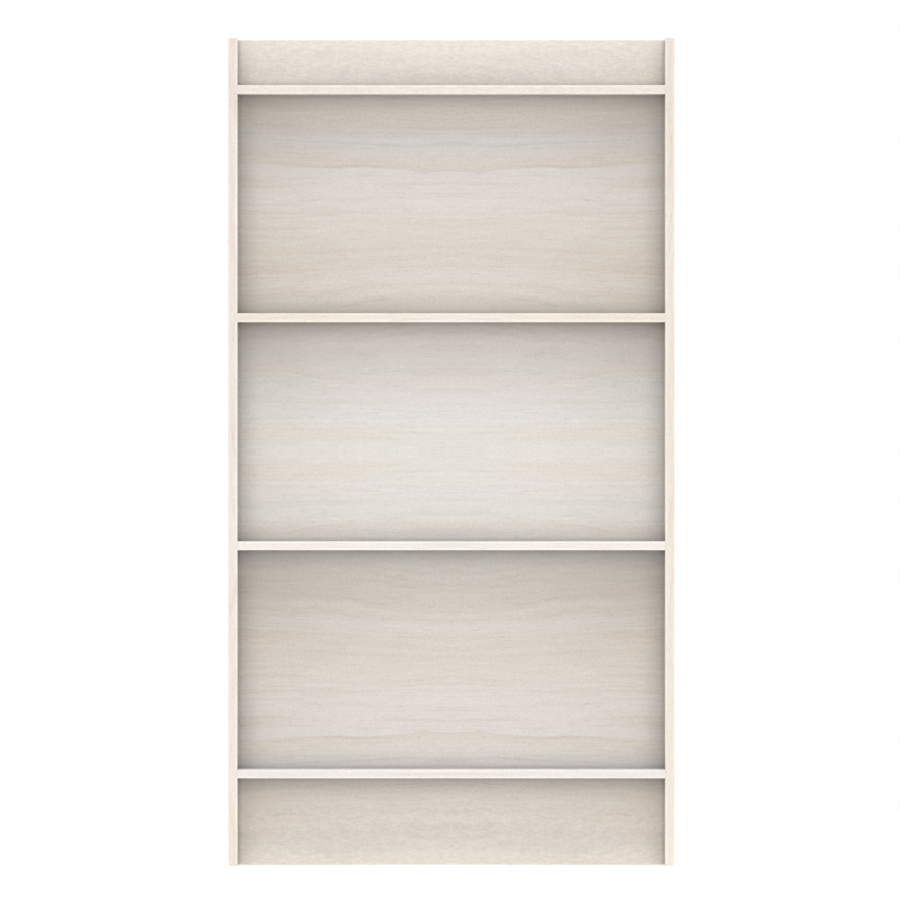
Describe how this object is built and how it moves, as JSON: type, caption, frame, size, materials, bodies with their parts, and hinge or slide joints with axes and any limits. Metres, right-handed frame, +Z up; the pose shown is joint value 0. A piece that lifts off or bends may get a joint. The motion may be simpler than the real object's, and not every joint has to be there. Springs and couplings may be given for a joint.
{
  "type": "miniature bookcase",
  "caption": "Open-fronted doll's house bookcase of thin pale board: two sides, fixed shelves let into them, a full back panel and an open plinth space.",
  "frame": {"origin": "on the floor, in the middle of the footprint: halfway between the sides and halfway between front and rear", "axes": "+Z up; the open front faces -Y and the back panel's rear face faces +Y; +X to the right of someone looking in at the front"},
  "size_m": [0.075, 0.025, 0.1392],
  "materials": {
    "side_wood": "matte",
    "shelf_wood": "matte",
    "back_wood": "matte"
  },
  "bodies": {
    "root": {"left_side": "side_wood", "right_side": "side_wood", "bottom_shelf": "shelf_wood", "lower_shelf": "shelf_wood", "upper_shelf": "shelf_wood", "top_shelf": "shelf_wood", "back_panel": "back_wood"}
  },
  "joints": []
}
